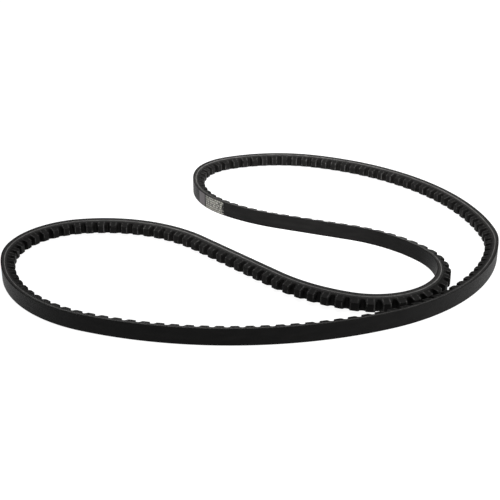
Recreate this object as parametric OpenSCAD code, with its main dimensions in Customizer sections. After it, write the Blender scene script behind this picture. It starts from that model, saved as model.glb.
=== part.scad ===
// Raw-edge cogged narrow V-belt, standing on one edge and laid in a loose fold.
// The belt is one endless band of bonded layers. It bends at its notches, so the
// band is cut into links there, and every layer of every link is its own solid.
// Depth is measured from the flat back of the belt towards the cog tips, and
// travel is measured along the tensile cord, which keeps its length as it bends.

/* [Section] */
// Width across the back
belt_width = 10; // [9.5:0.1:10.5]
// Height from the back to the cog tips
belt_height = 8; // [7.8:0.1:8.4]
// Angle between the two flanks, in degrees
flank_angle = 36; // [34:1:40]

/* [Layers] */
// Depth of the fabric back cover
cover_depth = 0.7; // [0.5:0.1:0.9]
// Depth of the middle of the tensile cord
cord_depth = 2.1; // [2:0.1:2.3]
// Depth at which the cogged base rubber begins
base_depth = 3.6; // [3.4:0.1:3.8]
// Diameter of the tensile cord
cord_d = 1; // [0.8:0.1:1.1]
// Number of turns of cord side by side across the belt
cord_turns = 7; // [5:1:7]
// Distance from one turn of cord to the next
cord_pitch = 1.3; // [1.28:0.01:1.32]

/* [Cogs] */
// Number of cogs round the belt
cog_count = 160; // [158:1:162]
// Depth of a notch below the cog tips
notch_depth = 3.6; // [3:0.1:3.7]
// Radius at the root of a notch
notch_root_r = 1.5; // [1.3:0.1:1.6]
// Width of a notch where the round of the cog tip begins
notch_throat_w = 3.4; // [3.2:0.1:3.6]
// Width of a notch at the cog tips, across the rounded corners
notch_mouth_w = 5; // [4.6:0.1:5.2]
// Depth of the rounded corner of a cog
cog_round_depth = 0.9; // [0.6:0.1:1]

/* [Lay] */
// Length of the belt along its tensile cord
belt_length = 1287; // [1275:1:1300]
// Gap between two links at a notch, which leaves room to bend
link_gap = 0.8; // [0.8:0.1:1]
// Hairline between two stretches of different radius in one link
seam = 0.02; // [0.01:0.01:0.05]

/* [Size label] */
// Travel at which the printed label begins
label_start = 962; // [956:1:966]
// Length of the printed label
label_length = 29; // [20:1:32]
// Thickness of the printed film
label_depth = 0.12; // [0.1:0.02:0.2]
// Bare margin between the label and each edge of the back
label_margin = 0.4; // [0.2:0.1:1]

/* [Hidden] */
$fn = 180;

// The links in order of travel, and the notches that bound them. Notch numbers
// past the last cog carry on round the belt a second time.
links = ["front_run", "right_bend", "rear_loop", "fold", "fold_end",
         "inner_end", "inner_bend", "left_loop", "left_bend"];
link_notches = [40, 79, 88, 137, 147, 151, 155, 162, 193, 40 + cog_count];
// Travel from the start of the lay to the first notch, in cog pitches
first_notch = 0.25;

// The lay of the cord line seen from above, run anticlockwise. Each entry is the
// radius of a bend and the angle it turns. A negative radius bends the belt
// backwards, and a zero radius is a straight run of whatever length closes the
// loop.
lay = [[0, 0], [92, 28], [82, 30], [46, 86], [93, 61], [213, 46], [131, 54],
       [66, 15], [155, 68], [87, 46], [37, 52], [65, 59], [125, 20],
       [0, 0], [-90, 34], [-42, 144], [-100, 27]];
runs = [for (i = [0:len(lay) - 1]) if (lay[i][0] == 0) i];
// Heading of the first straight run, anticlockwise from +X
first_heading = 133;

// Direction and size helpers
function along(heading) = [cos(heading), sin(heading)];
function inward(heading) = [-sin(heading), cos(heading)];
function total(list, upto) = upto < 0 ? 0 : list[upto] + total(list, upto - 1);
function joined(list, upto) = upto < 0 ? [0, 0] : list[upto] + joined(list, upto - 1);

// Angle turned by each stretch, and the heading at which it begins
turns = [for (bend = lay) sign(bend[0]) * bend[1]];
headings = [for (i = [0:len(lay) - 1]) first_heading + total(turns, i - 1)];

// Step from one end of a bend to the other
function bend_step(i) = lay[i][0] * (inward(headings[i]) - inward(headings[i] + turns[i]));

// Lengths of the two straight runs that bring the end of the lay to its start
bend_sum = joined([for (i = [0:len(lay) - 1]) bend_step(i)], len(lay) - 1);
dir_a = along(headings[runs[0]]);
dir_b = along(headings[runs[1]]);
spread = dir_a.x * dir_b.y - dir_a.y * dir_b.x;
run_a = (bend_sum.y * dir_b.x - bend_sum.x * dir_b.y) / spread;
run_b = (bend_sum.x * dir_a.y - bend_sum.y * dir_a.x) / spread;

// The whole lay is then scaled so that the cord has its stated length
function plain_length(i) = i == runs[0] ? run_a : i == runs[1] ? run_b :
    abs(lay[i][0]) * lay[i][1] * PI / 180;
plain_lengths = [for (i = [0:len(lay) - 1]) plain_length(i)];
lay_scale = belt_length / total(plain_lengths, len(lay) - 1);
radii = [for (bend = lay) bend[0] * lay_scale];
lengths = [for (l = plain_lengths) l * lay_scale];
steps = [for (i = [0:len(lay) - 1])
    lay[i][0] == 0 ? lengths[i] * along(headings[i]) : bend_step(i) * lay_scale];
travels = [for (i = [0:len(lay)]) total(lengths, i - 1)];

// The belt's origin is the middle of its outline, which forward bends set
back_out = cord_depth;
full_turn = 360;
function faces(i, way) = lay[i][0] > 0 &&
    (way - headings[i] + 90 + 4 * full_turn) % full_turn <= turns[i];
function reach(way) = max([for (i = [0:len(lay) - 1]) if (faces(i, way))
    (joined(steps, i - 1) + radii[i] * inward(headings[i])) * along(way)
    + radii[i] + back_out]);
lay_start = -[reach(0) - reach(180), reach(90) - reach(270)] / 2;
starts = [for (i = [0:len(lay) - 1]) lay_start + joined(steps, i - 1)];

// Stretch of the lay that holds a travel, and the place and heading there
function stretch_at(t) = max([for (i = [0:len(lay) - 1]) if (travels[i] <= t) i]);
function heading_in(i, t) = headings[i] + turns[i] * (t - travels[i]) / lengths[i];
function place_in(i, t) = lay[i][0] == 0 ?
    starts[i] + (t - travels[i]) * along(headings[i]) :
    starts[i] + radii[i] * (inward(headings[i]) - inward(heading_in(i, t)));

// Cogs
cog_pitch = belt_length / cog_count;
function notch_travel(n) = (n + first_notch) * cog_pitch;
notch_root_depth = belt_height - notch_depth + notch_root_r;
notch_over = 0.6;
cut_over = 1;

// Half the width lost at each flank, for each unit of depth
flank_slope = tan(flank_angle / 2);
shortest_piece = 0.001;

// Colours
cover_colour = "#26272a";
rubber_colour = "#1c1d1f";
bed_colour = "#2b2c2f";
cord_colour = "#8d8b86";
print_colour = "#8f918c";

// Profile of a layer, depth along x and height along y
module layer_profile(from, to) {
    polygon([[from, from * flank_slope], [to, to * flank_slope],
             [to, belt_width - to * flank_slope],
             [from, belt_width - from * flank_slope]]);
}

module cord_profile() {
    for (i = [0:cord_turns - 1])
        translate([cord_depth, belt_width / 2 + (i - (cord_turns - 1) / 2) * cord_pitch])
            circle(d = cord_d);
}

// Carries a profile along the lay, from one travel to another
module carry(from, to) {
    for (lap = [0, 1], i = [0:len(lay) - 1]) {
        begin = max(from, travels[i] + lap * belt_length + seam) - lap * belt_length;
        end = min(to, travels[i + 1] + lap * belt_length) - lap * belt_length;
        if (end - begin > shortest_piece) carry_in(i, begin, end) children();
    }
}

// Carries a profile along part of one stretch of the lay
module carry_in(i, begin, end) {
    sweep = abs(heading_in(i, end) - heading_in(i, begin));
    if (lay[i][0] == 0)
        translate(place_in(i, begin)) rotate([0, 0, headings[i]])
            rotate([90, 0, 90]) linear_extrude(end - begin)
                translate([-cord_depth, 0]) children();
    else if (lay[i][0] > 0)
        translate(starts[i] + radii[i] * inward(headings[i]))
            rotate([0, 0, heading_in(i, begin) - 90]) rotate_extrude(angle = sweep)
                translate([radii[i] + cord_depth, 0]) mirror([1, 0]) children();
    else
        translate(starts[i] + radii[i] * inward(headings[i]))
            rotate([0, 0, heading_in(i, end) + 90]) rotate_extrude(angle = sweep)
                translate([-radii[i] - cord_depth, 0]) children();
}

// A notch, standing across the belt, with its root towards the back
module notch(n) {
    t = notch_travel(n) % belt_length;
    i = stretch_at(t);
    mouth_slope = (notch_mouth_w - notch_throat_w) / 2 / cog_round_depth;
    over_w = notch_mouth_w / 2 + notch_over * mouth_slope;
    translate(place_in(i, t)) rotate([0, 0, heading_in(i, t)])
        translate([0, -cord_depth, -cut_over])
            linear_extrude(belt_width + 2 * cut_over) {
                translate([0, notch_root_depth]) circle(r = notch_root_r);
                polygon([
                    [-notch_root_r, notch_root_depth],
                    [-notch_throat_w / 2, belt_height - cog_round_depth],
                    [-over_w, belt_height + notch_over],
                    [over_w, belt_height + notch_over],
                    [notch_throat_w / 2, belt_height - cog_round_depth],
                    [notch_root_r, notch_root_depth]]);
            }
}

// Carries a profile along one link, short of its end notches by half a gap
module carry_link(k) {
    carry(notch_travel(link_notches[k]) + link_gap / 2,
          notch_travel(link_notches[k + 1]) - link_gap / 2) children();
}

// The layers, from the back inwards
module back_cover(k) {
    color(cover_colour) carry_link(k) layer_profile(0, cover_depth);
}

module cushion(k) {
    color(rubber_colour) carry_link(k) difference() {
        layer_profile(cover_depth, cord_depth);
        cord_profile();
    }
}

module tensile_cord(k) {
    color(cord_colour) carry_link(k) intersection() {
        layer_profile(cover_depth, base_depth);
        cord_profile();
    }
}

module cord_bed(k) {
    color(bed_colour) carry_link(k) difference() {
        layer_profile(cord_depth, base_depth);
        cord_profile();
    }
}

module cogs(k) {
    color(rubber_colour) difference() {
        carry_link(k) layer_profile(base_depth, belt_height);
        for (n = [link_notches[k]:link_notches[k + 1]]) notch(n);
    }
}

// Thin printed film on the back, beside the tight bend of the rear loop
module size_label() {
    color(print_colour) carry(label_start, label_start + label_length)
        polygon([[-label_depth, label_margin], [0, label_margin],
                 [0, belt_width - label_margin], [-label_depth, belt_width - label_margin]]);
}

for (k = [0:len(links) - 1]) {
    back_cover(k);
    cushion(k);
    tensile_cord(k);
    cord_bed(k);
    cogs(k);
}
size_label();
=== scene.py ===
import math

import bpy
import numpy as np
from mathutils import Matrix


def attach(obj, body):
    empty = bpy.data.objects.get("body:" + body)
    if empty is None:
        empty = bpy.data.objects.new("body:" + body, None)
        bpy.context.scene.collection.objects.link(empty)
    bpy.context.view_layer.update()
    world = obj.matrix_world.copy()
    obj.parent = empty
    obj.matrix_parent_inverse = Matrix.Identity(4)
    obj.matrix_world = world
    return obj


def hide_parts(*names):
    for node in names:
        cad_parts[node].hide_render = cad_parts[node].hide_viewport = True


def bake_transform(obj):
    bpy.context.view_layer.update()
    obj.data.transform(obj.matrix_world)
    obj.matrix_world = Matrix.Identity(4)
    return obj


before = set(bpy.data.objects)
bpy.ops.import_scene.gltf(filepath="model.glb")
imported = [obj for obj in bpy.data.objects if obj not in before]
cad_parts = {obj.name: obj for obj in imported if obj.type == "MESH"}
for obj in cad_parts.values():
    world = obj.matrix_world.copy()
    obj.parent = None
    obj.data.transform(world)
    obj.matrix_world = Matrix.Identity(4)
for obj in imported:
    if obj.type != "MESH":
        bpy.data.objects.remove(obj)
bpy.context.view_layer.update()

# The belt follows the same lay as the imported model. All belt sizes here are in
# millimetres, and meshes are scaled to metres when they are made.
MM = 0.001

# Section: depths are measured from the belt's back, heights from its lower edge
BELT_WIDTH = 10.0
BELT_HEIGHT = 8.0
FLANK_SLOPE = math.tan(math.radians(18))
COVER_DEPTH = 0.7
CORD_DEPTH = 2.1
BASE_DEPTH = 3.6
CORD_D = 1.0
CORD_TURNS = 7
CORD_PITCH = 1.3

# Easing of the section's corners: radii, and how far the support points stand
# off a rounded corner, as a share of its radius
LAYER_EDGE = 0.06
BACK_EDGE = 0.16
COG_EDGE = 0.22
SUPPORT = 0.6

# Cogs, with the root's small flare and the crown of a tip
COG_COUNT = 160
BELT_LENGTH = 1287.0
COG_PITCH = BELT_LENGTH / COG_COUNT
FIRST_NOTCH = 0.25
NOTCH_DEPTH = 3.6
NOTCH_ROOT_R = 1.5
NOTCH_THROAT_W = 3.4
NOTCH_MOUTH_W = 5.0
COG_ROUND_DEPTH = 0.9
ROOT_FLARE = 0.02
TIP_CROWN = 0.05

# Lay: radius and turn of each bend, with zero for a straight run
LAY = [(0, 0), (92, 28), (82, 30), (46, 86), (93, 61), (213, 46), (131, 54),
       (66, 15), (155, 68), (87, 46), (37, 52), (65, 59), (125, 20),
       (0, 0), (-90, 34), (-42, 144), (-100, 27)]
FIRST_HEADING = 133

# Notches at which the links are hinged, and the notch where the loop is open, with
# the slit there, so that its two ends never meet when the links turn
HINGES = [("front_run", "right_bend", 79), ("right_bend", "rear_loop", 88),
          ("rear_loop", "fold", 137), ("fold", "fold_end", 147),
          ("inner_end", "inner_bend", 155), ("inner_bend", "left_loop", 162),
          ("left_loop", "left_bend", 193), ("left_bend", "front_run", 200)]
CUT_NOTCH = 151
CUT_GAP = 0.16

# Spacing of what repeats in the materials, and how far a strand of cord slants
WEAVE_PITCH = 0.55
STRAND_PITCH = 0.9
STRAND_SLANT = 1.7

# Label: a film on the back, with a plain panel, then a block of dashes in rows. The
# row step sets how far apart two rows are in the noise that makes their dashes
LABEL_START = 962.0
LABEL_LENGTH = 29.0
LABEL_MARGIN = 0.4
LABEL_ROWS = 6
LABEL_ROW_STEP = 7.0
LABEL_RINGS = 40
FILM = 0.05
PANEL_LENGTH = 8.8
DASHES_START = 10.0
DASHES_END = 28.6

# Fineness of the meshes, and the least space between a sweep's end and its next ring
CORNER_STEPS = 3
ARC_SIDES = 8
ROOT_STEPS = 7
ROUND_STEPS = 5
TIP_STEPS = 3
RING_SPACING = 2.0
END_SPACING = 0.01
SHARP_ANGLE = math.radians(40)

# Stage: metres and degrees, with the lens in millimetres
FLOOR_REACH = 4.0
FLOOR_GLOW = 0.95
WORLD_STRENGTH = 0.2
CAMERA_LENS = 70.2
CAMERA_SHIFT = -0.0112
CAMERA_PLACE = (0.00043, -0.57441, 0.25623)
CAMERA_PITCH = 24.77


# ---------------------------------------------------------------- the lay

def direction(heading):
    angle = np.radians(heading)
    return np.stack([np.cos(angle), np.sin(angle)], axis=-1)


def inward(heading):
    angle = np.radians(heading)
    return np.stack([-np.sin(angle), np.cos(angle)], axis=-1)


class Lay:
    """The cord line seen from above, and places along it."""

    def __init__(self):
        self.turns = np.array([math.copysign(turn, radius) for radius, turn in LAY])
        self.headings = FIRST_HEADING + np.concatenate([[0], np.cumsum(self.turns)[:-1]])
        radii = np.array([radius for radius, _ in LAY], float)
        steps = radii[:, None] * (inward(self.headings) - inward(self.headings + self.turns))
        runs = [i for i, radius in enumerate(radii) if radius == 0]
        run_lengths = np.linalg.solve(direction(self.headings[runs]).T, -steps.sum(axis=0))
        lengths = np.abs(radii * np.radians(self.turns))
        lengths[runs] = run_lengths
        steps[runs] = run_lengths[:, None] * direction(self.headings[runs])
        scale = BELT_LENGTH / lengths.sum()
        self.radii = radii * scale
        self.lengths = lengths * scale
        self.travels = np.concatenate([[0], np.cumsum(self.lengths)])
        self.starts = np.concatenate([[[0, 0]], np.cumsum(steps * scale, axis=0)[:-1]])
        outline = self.place(np.linspace(0, BELT_LENGTH, 4000), 0)
        self.starts = self.starts - (outline.min(axis=0) + outline.max(axis=0)) / 2

    def heading(self, travel):
        travel = np.asarray(travel, float) % BELT_LENGTH
        i = np.searchsorted(self.travels, travel, side="right") - 1
        share = (travel - self.travels[i]) / self.lengths[i]
        return self.headings[i] + self.turns[i] * share

    def cord(self, travel):
        travel = np.asarray(travel, float) % BELT_LENGTH
        i = np.searchsorted(self.travels, travel, side="right") - 1
        heading = self.heading(travel)
        straight = (travel - self.travels[i])[..., None] * direction(self.headings[i])
        bend = self.radii[i][..., None] * (inward(self.headings[i]) - inward(heading))
        return self.starts[i] + np.where(self.radii[i][..., None] == 0, straight, bend)

    def place(self, travel, depth):
        """Point in the plane at a travel and a depth from the belt's back."""
        return self.cord(travel) + (depth - CORD_DEPTH) * inward(self.heading(travel))


lay = Lay()


def notch_travel(notch):
    return (notch + FIRST_NOTCH) * COG_PITCH


# ------------------------------------------------------------- the section

def flank(depth):
    """Height of the lower flank at a depth; the upper flank is its mirror image."""
    return depth * FLANK_SLOPE


def rounded(corners):
    """Section with its corners rounded, each with a support point on either side.

    A corner is (depth, height, radius). Corners run anticlockwise.
    """
    points = []
    for i, (depth, height, radius) in enumerate(corners):
        here = np.array([depth, height])
        before = np.array(corners[i - 1][:2]) - here
        after = np.array(corners[(i + 1) % len(corners)][:2]) - here
        before = before / np.linalg.norm(before)
        after = after / np.linalg.norm(after)
        half = math.acos(np.clip(before @ after, -1, 1)) / 2
        reach = radius / math.tan(half)
        centre = here + (before + after) / np.linalg.norm(before + after) * radius / math.sin(half)
        support = SUPPORT * radius
        points.append(here + before * (reach + support))
        first, last = here + before * reach - centre, here + after * reach - centre
        for step in range(CORNER_STEPS + 1):
            share = step / CORNER_STEPS
            arm = first * (1 - share) + last * share
            points.append(centre + arm / np.linalg.norm(arm) * radius)
        points.append(here + after * (reach + support))
    return np.array(points)


def cover_section():
    """Section of the back cover, with eased edges on its flanks."""
    bottom = flank(COVER_DEPTH)
    return rounded([(0, 0, BACK_EDGE), (COVER_DEPTH, bottom, LAYER_EDGE),
                    (COVER_DEPTH, BELT_WIDTH - bottom, LAYER_EDGE), (0, BELT_WIDTH, BACK_EDGE)])


def cord_heights():
    middle = (CORD_TURNS - 1) / 2
    return [BELT_WIDTH / 2 + (i - middle) * CORD_PITCH for i in range(CORD_TURNS)]


def grooved_edge(side):
    """Edge of a layer along the cord's middle, hollowed for each turn of cord.

    The points run up the belt's width. side is -1 where the rubber is nearer to
    the back than the cord, and 1 where it is under the cord.
    """
    points = []
    for middle in cord_heights():
        for step in range(ARC_SIDES + 1):
            angle = math.pi * step / ARC_SIDES
            height = middle - CORD_D / 2 * math.cos(angle)
            depth = CORD_DEPTH + side * CORD_D / 2 * math.sin(angle)
            if flank(depth) < height < BELT_WIDTH - flank(depth):
                points.append((depth, height))
    return points


def groove_depth_at_flank(side):
    """Depth at which the outermost turn of cord meets the flank."""
    lowest = cord_heights()[0]
    a = 1 + FLANK_SLOPE ** 2
    b = -2 * (CORD_DEPTH + lowest * FLANK_SLOPE)
    c = CORD_DEPTH ** 2 + lowest ** 2 - (CORD_D / 2) ** 2
    return (-b + side * math.sqrt(b * b - 4 * a * c)) / (2 * a)


def cushion_section():
    meet = groove_depth_at_flank(-1)
    edge = [(meet, flank(meet))] + grooved_edge(-1) + [(meet, BELT_WIDTH - flank(meet))]
    return np.array([(COVER_DEPTH, flank(COVER_DEPTH))] + edge
                    + [(COVER_DEPTH, BELT_WIDTH - flank(COVER_DEPTH))])


def cord_bed_section():
    meet = groove_depth_at_flank(1)
    edge = [(meet, flank(meet))] + grooved_edge(1) + [(meet, BELT_WIDTH - flank(meet))]
    return np.array([(BASE_DEPTH, BELT_WIDTH - flank(BASE_DEPTH))] + edge[::-1]
                    + [(BASE_DEPTH, flank(BASE_DEPTH))])


def cord_sections():
    """One section for each turn of cord; the outermost ones are cut off at the flanks."""
    sections = []
    for middle in cord_heights():
        section = []
        for step in range(2 * ARC_SIDES):
            angle = math.pi * step / ARC_SIDES
            depth = CORD_DEPTH + CORD_D / 2 * math.cos(angle)
            height = middle + CORD_D / 2 * math.sin(angle)
            section.append((depth, min(max(height, flank(depth)), BELT_WIDTH - flank(depth))))
        sections.append(np.array(section))
    return sections


# ---------------------------------------------------------------- the cogs

def half_notch():
    """Distance from a notch's middle and depth there, out to the middle of the cog."""
    root_depth = BELT_HEIGHT - NOTCH_DEPTH + NOTCH_ROOT_R
    points = []
    for step in range(ROOT_STEPS + 1):
        angle = math.pi / 2 * step / ROOT_STEPS
        points.append((NOTCH_ROOT_R * math.sin(angle), root_depth - NOTCH_ROOT_R * math.cos(angle)))
    throat = NOTCH_THROAT_W / 2
    shoulder = BELT_HEIGHT - COG_ROUND_DEPTH
    points[-1] = (points[-1][0] + ROOT_FLARE, points[-1][1])
    points.append(((points[-1][0] + throat) / 2, (root_depth + shoulder) / 2))
    mouth = NOTCH_MOUTH_W / 2
    for step in range(ROUND_STEPS + 1):
        angle = math.pi / 2 * step / ROUND_STEPS
        points.append((mouth - (mouth - throat) * math.cos(angle),
                       shoulder + (COG_ROUND_DEPTH - TIP_CROWN) * math.sin(angle)))
    for step in range(1, TIP_STEPS + 1):
        share = step / TIP_STEPS
        points.append((mouth + (COG_PITCH / 2 - mouth) * share,
                       BELT_HEIGHT - TIP_CROWN * (1 - share) ** 2))
    return points


def cog_rings(begin, end):
    """Travels and depths of the cogged face between two travels."""
    half = half_notch()
    whole = [(-x, depth) for x, depth in half[::-1]][:-1] + half
    first = math.floor(begin / COG_PITCH) - 2
    last = math.ceil(end / COG_PITCH) + 2
    travels, depths = [], []
    for notch in range(first, last):
        middle = notch_travel(notch)
        for x, depth in whole[:-1]:
            travels.append(middle + x)
            depths.append(depth)
    travels, depths = np.array(travels), np.array(depths)
    inside = (travels > begin + END_SPACING) & (travels < end - END_SPACING)
    ends = np.interp([begin, end], travels, depths)
    return (np.concatenate([[begin], travels[inside], [end]]),
            np.concatenate([ends[:1], depths[inside], ends[1:]]))


def cog_section(depth):
    return rounded([(BASE_DEPTH, flank(BASE_DEPTH), LAYER_EDGE),
                    (depth, flank(depth), COG_EDGE),
                    (depth, BELT_WIDTH - flank(depth), COG_EDGE),
                    (BASE_DEPTH, BELT_WIDTH - flank(BASE_DEPTH), LAYER_EDGE)])


# ------------------------------------------------------------------ meshes

def sweep(travels, sections):
    """Vertices, faces and belt coordinates of a closed solid swept along the lay."""
    sections = np.asarray(sections)
    if sections.ndim == 2:
        sections = np.broadcast_to(sections, (len(travels),) + sections.shape)
    rings, count = sections.shape[:2]
    cord, side = lay.cord(travels), inward(lay.heading(travels))
    plane = cord[:, None, :] + (sections[..., :1] - CORD_DEPTH) * side[:, None, :]
    verts = np.concatenate([plane, sections[..., 1:]], axis=-1).reshape(-1, 3) * MM
    index = np.arange(rings * count).reshape(rings, count)
    here, there = index[:-1], index[1:]
    quads = np.stack([here, np.roll(here, -1, axis=1), np.roll(there, -1, axis=1), there], axis=-1)
    faces = quads.reshape(-1, 4).tolist()
    faces.append(index[0, ::-1].tolist())
    faces.append(index[-1].tolist())
    coords = np.concatenate([np.repeat(travels, count)[:, None], sections.reshape(-1, 2)], axis=1)
    return verts, faces, coords


def joined(parts):
    verts, faces, coords, offset = [], [], [], 0
    for part_verts, part_faces, part_coords in parts:
        verts.append(part_verts)
        coords.append(part_coords)
        faces += [[v + offset for v in face] for face in part_faces]
        offset += len(part_verts)
    return np.concatenate(verts), faces, np.concatenate(coords)


def make_piece(name, parts, material):
    verts, faces, coords = joined(parts)
    mesh = bpy.data.meshes.new(name)
    mesh.from_pydata(verts.tolist(), [], faces)
    for attribute, values in zip(("travel", "depth", "height"), coords.T):
        layer = mesh.attributes.new(attribute, "FLOAT", "POINT")
        layer.data.foreach_set("value", values.astype(np.float32))
    mesh.polygons.foreach_set("use_smooth", [True] * len(mesh.polygons))
    mesh.set_sharp_from_angle(angle=SHARP_ANGLE)
    mesh.materials.append(material)
    mesh.update()
    piece = bpy.data.objects.new(name, mesh)
    bpy.context.scene.collection.objects.link(piece)
    return piece


# --------------------------------------------------------------- materials

class Nodes:
    """A material's node tree, with short calls for the nodes that it is built of."""

    def __init__(self, name):
        self.material = bpy.data.materials.new(name)
        self.material.use_nodes = True
        self.tree = self.material.node_tree
        self.shader = self.tree.nodes["Principled BSDF"]

    def node(self, kind, inputs=(), output=0, **settings):
        made = self.tree.nodes.new("ShaderNode" + kind)
        for key, value in settings.items():
            setattr(made, key, value)
        for key, value in dict(inputs).items():
            if isinstance(value, bpy.types.NodeSocket):
                self.tree.links.new(value, made.inputs[key])
            else:
                made.inputs[key].default_value = value
        return made.outputs[output]

    def attribute(self, name):
        return self.node("Attribute", output="Fac", attribute_name=name)

    def math(self, operation, *values):
        return self.node("Math", enumerate(values), operation=operation)

    def belt_vector(self, travel_scale=1.0, depth_scale=1.0, height_scale=1.0):
        """Belt coordinates in millimetres, stretched for a texture."""
        parts = [self.math("MULTIPLY", self.attribute(name), scale)
                 for name, scale in (("travel", travel_scale), ("depth", depth_scale),
                                     ("height", height_scale))]
        return self.node("CombineXYZ", enumerate(parts))

    def threads(self, operation):
        """Diagonal threads of the cover's cloth; ADD and SUBTRACT are its two directions."""
        along = self.math(operation, self.attribute("travel"), self.attribute("height"))
        return self.math("SINE", self.math("MULTIPLY", along, 2 * math.pi / WEAVE_PITCH))

    def noise(self, vector, scale, detail=3.0, roughness=0.5):
        return self.node("TexNoise", {"Vector": vector, "Scale": scale, "Detail": detail,
                                      "Roughness": roughness})

    def off_middle(self, value):
        """Distance of a value from the middle between the two whole numbers around it."""
        return self.math("ABSOLUTE", self.math("SUBTRACT", self.math("FRACT", value), 0.5))

    def ramp(self, value, low, high, to_low=0.0, to_high=1.0):
        return self.node("MapRange", {"Value": value, "From Min": low, "From Max": high,
                                      "To Min": to_low, "To Max": to_high})

    def mix(self, share, a, b):
        made = self.tree.nodes.new("ShaderNodeMix")
        made.data_type = "RGBA"
        for socket, value in ((made.inputs[0], share), (made.inputs[6], a), (made.inputs[7], b)):
            if isinstance(value, bpy.types.NodeSocket):
                self.tree.links.new(value, socket)
            else:
                socket.default_value = value
        return made.outputs[2]

    def bump(self, height, distance, strength=1.0, normal=None):
        inputs = {"Height": height, "Distance": distance, "Strength": strength}
        if normal is not None:
            inputs["Normal"] = normal
        return self.node("Bump", inputs)

    def surface(self, **sockets):
        for name, value in sockets.items():
            socket = self.shader.inputs[name.replace("_", " ")]
            if isinstance(value, bpy.types.NodeSocket):
                self.tree.links.new(value, socket)
            else:
                socket.default_value = value
        return self.material


def grey(value, warmth=0.0):
    return (value * (1 + warmth), value, value * (1 - warmth), 1.0)


def cover_material():
    """Rubberised cloth on the belt's back: fine weave, soft mottling, worn patches."""
    n = Nodes("cover_cloth")
    weave = n.math("MAXIMUM", n.threads("ADD"), n.threads("SUBTRACT"))
    mottle = n.noise(n.belt_vector(0.25), 0.35, 4.0)
    # Worn patches of the cloth: lighter, with their own bump and roughness
    wear_and_painted_highlight = n.noise(n.belt_vector(), 1.6, 5.0, 0.65)
    colour = n.mix(n.ramp(mottle, 0.3, 0.7), grey(0.0036, 0.02), grey(0.0062, 0.03))
    colour = n.mix(n.ramp(wear_and_painted_highlight, 0.62, 0.85, 0.0, 0.5), colour, grey(0.018, 0.03))
    normal = n.bump(weave, 0.00003, 0.5)
    normal = n.bump(wear_and_painted_highlight, 0.00008, 0.4, normal)
    return n.surface(Base_Color=colour, Roughness=n.ramp(wear_and_painted_highlight, 0.3, 0.7, 0.4, 0.54),
                     Specular_IOR_Level=0.06, Normal=normal)


def cut_rubber_material(name, dark, pale, fibres):
    """Rubber cut by a blade along the belt: long fine grooves and pale fibre ends."""
    n = Nodes(name)
    grooves = n.noise(n.belt_vector(0.08), 9.0, 3.0, 0.6)
    mottle = n.noise(n.belt_vector(), 0.6, 4.0)
    specks = n.noise(n.belt_vector(), 6.0, 2.0, 0.7)
    colour = n.mix(n.ramp(grooves, 0.35, 0.68), grey(dark, 0.02), grey(pale, 0.04))
    colour = n.mix(n.ramp(specks, 0.66, 0.78, 0.0, fibres), colour, grey(0.10, 0.05))
    normal = n.bump(grooves, 0.00006, 0.5)
    return n.surface(Base_Color=colour, Roughness=n.ramp(mottle, 0.3, 0.7, 0.5, 0.68),
                     Specular_IOR_Level=0.12, Normal=normal)


def cord_material():
    """Twisted cord, cut open along the flanks, with its strands on the slant."""
    n = Nodes("tensile_cord")
    slant = n.math("ADD", n.attribute("travel"),
                   n.math("MULTIPLY", n.attribute("depth"), STRAND_SLANT))
    strands = n.math("SINE", n.math("MULTIPLY", slant, 2 * math.pi / STRAND_PITCH))
    smear = n.noise(n.belt_vector(0.12), 1.4, 4.0, 0.6)
    colour = n.mix(n.ramp(strands, -1, 1), grey(0.055, 0.02), grey(0.12, 0.03))
    colour = n.mix(n.ramp(smear, 0.4, 0.7, 0.0, 0.85), colour, grey(0.018, 0.02))
    return n.surface(Base_Color=colour, Roughness=0.7, Specular_IOR_Level=0.2,
                     Normal=n.bump(strands, 0.00005, 0.7))


def cog_material():
    """Moulded rubber: faint mould ripple, and a painted highlight: pale lines along the corners of
    some cogs.

    The corners are found by the distance from the nearest notch, in cog pitches.
    """
    n = Nodes("moulded_rubber")
    place = n.math("SUBTRACT", n.math("DIVIDE", n.attribute("travel"), COG_PITCH), FIRST_NOTCH)
    from_notch = n.off_middle(n.math("ADD", place, 0.5))
    corner = NOTCH_MOUTH_W / 2 / COG_PITCH
    off_corner = n.math("ABSOLUTE", n.math("SUBTRACT", from_notch, corner - 0.03))
    line = n.ramp(off_corner, 0.018, 0.05, 1.0, 0.0)
    patches = n.noise(n.belt_vector(0.16, 1.0, 0.3), 1.0, 2.0)
    # Painted highlight: a pale line along the corner of the cogs where the patches fall
    wear_and_painted_highlight = n.math("MULTIPLY", line, n.ramp(patches, 0.42, 0.62))
    mottle = n.noise(n.belt_vector(), 0.9, 4.0, 0.6)
    grain = n.noise(n.belt_vector(), 5.0, 3.0, 0.6)
    colour = n.mix(n.ramp(mottle, 0.3, 0.7), grey(0.003, 0.02), grey(0.0068, 0.04))
    # The pale grey mixed in here is the painted highlight on the cog corners
    colour = n.mix(n.math("MULTIPLY", wear_and_painted_highlight, 0.45), colour, grey(0.08, 0.02))
    normal = n.bump(grain, 0.00007, 0.45)
    normal = n.bump(mottle, 0.0002, 0.3, normal)
    return n.surface(Base_Color=colour, Roughness=n.ramp(mottle, 0.3, 0.7, 0.44, 0.6),
                     Specular_IOR_Level=0.045, Normal=normal)


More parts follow.
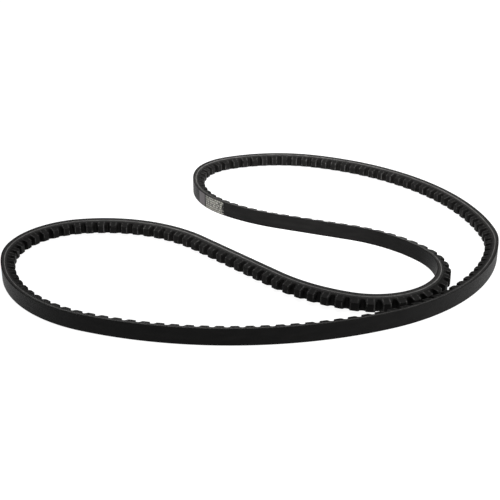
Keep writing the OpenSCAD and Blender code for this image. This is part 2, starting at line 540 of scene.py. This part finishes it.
def label_material():
    """Worn print: a plain grey panel, then a block of small dashes in rows."""
    n = Nodes("label_print")
    along = n.math("SUBTRACT", n.attribute("travel"), LABEL_START)
    worn = n.ramp(n.noise(n.belt_vector(), 2.2, 4.0, 0.7), 0.3, 0.6)
    row = n.math("MULTIPLY", n.math("SUBTRACT", n.attribute("height"), LABEL_MARGIN),
                 LABEL_ROWS / (BELT_WIDTH - 2 * LABEL_MARGIN))
    band = n.ramp(n.off_middle(row), 0.26, 0.4, 1.0, 0.0)
    row_place = n.math("MULTIPLY", n.math("FLOOR", row), LABEL_ROW_STEP)
    cell = n.node("CombineXYZ", enumerate([along, row_place, 0.0]))
    dashes = n.ramp(n.noise(cell, 1.3, 1.0), 0.44, 0.52)
    wear_back = n.ramp(n.noise(n.belt_vector(0.3), 1.1, 2.0), 0.4, 0.62, 0.0, 2.2)
    block = n.math("MULTIPLY", n.ramp(along, DASHES_START, DASHES_START + 0.3),
                   n.ramp(n.math("ADD", along, wear_back), DASHES_END + 0.4, DASHES_END))
    ink = n.math("MULTIPLY", n.math("MULTIPLY", band, dashes), n.math("MULTIPLY", block, worn))
    panel = n.math("MULTIPLY", n.ramp(along, 0.2, 0.6),
                   n.ramp(along, PANEL_LENGTH, PANEL_LENGTH - 0.4))
    ground = n.mix(block, (0.008, 0.008, 0.008, 1.0), (0.055, 0.053, 0.048, 1.0))
    ground = n.mix(n.math("MULTIPLY", panel, n.ramp(worn, 0.0, 1.0, 0.5, 1.0)), ground,
                   (0.098, 0.088, 0.092, 1.0))
    colour = n.mix(ink, ground, (0.34, 0.335, 0.30, 1.0))
    return n.surface(Base_Color=colour, Roughness=0.5, Specular_IOR_Level=0.12,
                     Normal=n.bump(ink, 0.00002, 0.5))


# ---------------------------------------------------------- spans and layers

def spans():
    """Stretches of belt that cross one hinge each: name, bodies, hinge travel, begin and end."""
    middles = []
    for (_, _, notch), (_, _, following) in zip(HINGES, HINGES[1:] + HINGES[:1]):
        if notch < CUT_NOTCH < following:
            middles.append(notch_travel(CUT_NOTCH))
            continue
        following += COG_COUNT if following <= notch else 0
        middles.append(notch_travel(round((notch + following) / 2)))
    found = []
    for i, (body_a, body_b, notch) in enumerate(HINGES):
        begin, end = middles[i - 1], middles[i]
        begin -= BELT_LENGTH if begin > notch_travel(notch) else 0
        begin += CUT_GAP / 2 if begin == notch_travel(CUT_NOTCH) else 0
        end -= CUT_GAP / 2 if end == notch_travel(CUT_NOTCH) else 0
        found.append((body_a + "_to_" + body_b, body_a, body_b, notch_travel(notch), begin, end))
    return found


materials = {
    "back_cover": cover_material(),
    "cushion": cut_rubber_material("cushion_rubber", 0.008, 0.015, 0.1),
    "tensile_cord": cord_material(),
    "cord_bed": cut_rubber_material("cord_bed_rubber", 0.006, 0.013, 0.15),
    "cogs": cog_material(),
}


def layer_parts(layer, begin, end):
    steps = max(2, round((end - begin) / RING_SPACING) + 1)
    travels = np.linspace(begin, end, steps)
    if layer == "back_cover":
        return [sweep(travels, cover_section())]
    if layer == "cushion":
        return [sweep(travels, cushion_section())]
    if layer == "tensile_cord":
        return [sweep(travels, section) for section in cord_sections()]
    if layer == "cord_bed":
        return [sweep(travels, cord_bed_section())]
    travels, depths = cog_rings(begin, end)
    return [sweep(travels, [cog_section(depth) for depth in depths])]


for layer in materials:
    for name, body_a, body_b, hinge, begin, end in spans():
        piece = make_piece(f"{layer}_{name}", layer_parts(layer, begin, end), materials[layer])
        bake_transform(piece)
        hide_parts(f"{body_a}_{layer}", f"{body_b}_{layer}")


# ------------------------------------------------------------------- label

label_section = np.array([(-FILM, LABEL_MARGIN), (0.0, LABEL_MARGIN),
                          (0.0, BELT_WIDTH - LABEL_MARGIN), (-FILM, BELT_WIDTH - LABEL_MARGIN)])
label = make_piece("size_label_print",
                   [sweep(np.linspace(LABEL_START, LABEL_START + LABEL_LENGTH, LABEL_RINGS),
                          label_section)],
                   label_material())
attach(label, "rear_loop")
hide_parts("size_label")


# ------------------------------------------------------- floor, light, camera

def make_floor():
    mesh = bpy.data.meshes.new("floor")
    corners = [(x * FLOOR_REACH, y * FLOOR_REACH, 0) for x, y in ((-1, -1), (1, -1), (1, 1), (-1, 1))]
    mesh.from_pydata(corners, [], [(0, 1, 2, 3)])
    floor = bpy.data.objects.new("floor", mesh)
    n = Nodes("floor")
    speckle = n.noise(n.node("TexCoord", output="Object"), 300.0)
    mesh.materials.append(n.surface(Base_Color=n.mix(speckle, grey(0.14), grey(0.16)),
                                    Roughness=1.0, Specular_IOR_Level=0.0,
                                    Emission_Color=grey(1.0), Emission_Strength=FLOOR_GLOW))
    bpy.context.scene.collection.objects.link(floor)


def area_light(name, location, target, size, power, spread=180):
    """Rectangular lamp that faces its target, with its spread in degrees."""
    data = bpy.data.lights.new(name, "AREA")
    data.spread = math.radians(spread)
    data.shape = "RECTANGLE"
    data.size, data.size_y = size
    data.energy = power
    lamp = bpy.data.objects.new(name, data)
    lamp.location = location
    way = np.array(target) - np.array(location)
    lamp.rotation_euler = (math.atan2(math.hypot(way[0], way[1]), -way[2]), 0,
                           math.atan2(way[1], way[0]) - math.pi / 2)
    bpy.context.scene.collection.objects.link(lamp)


def make_camera():
    data = bpy.data.cameras.new("camera")
    data.lens = CAMERA_LENS
    data.shift_x = CAMERA_SHIFT
    camera = bpy.data.objects.new("camera", data)
    camera.location = CAMERA_PLACE
    camera.rotation_euler = (math.radians(90 - CAMERA_PITCH), 0, 0)
    bpy.context.scene.collection.objects.link(camera)
    bpy.context.scene.camera = camera


def make_world():
    world = bpy.data.worlds.new("studio")
    world.use_nodes = True
    background = world.node_tree.nodes["Background"]
    background.inputs["Color"].default_value = grey(1.0)
    background.inputs["Strength"].default_value = WORLD_STRENGTH
    bpy.context.scene.world = world


make_floor()
area_light("overhead", location=(0, 0.25, 1.3), target=(0, 0, 0), size=(1.6, 1.2), power=18)
area_light("over_the_bay", location=(0.05, -0.16, 0.22), target=(0.03, 0.08, 0),
           size=(0.16, 0.06), power=0.38, spread=55)
area_light("right_side", location=(0.7, -0.2, 0.35), target=(0.1, 0, 0), size=(0.5, 0.3), power=6.4)
make_camera()
make_world()
bpy.context.scene.view_settings.view_transform = "Standard"
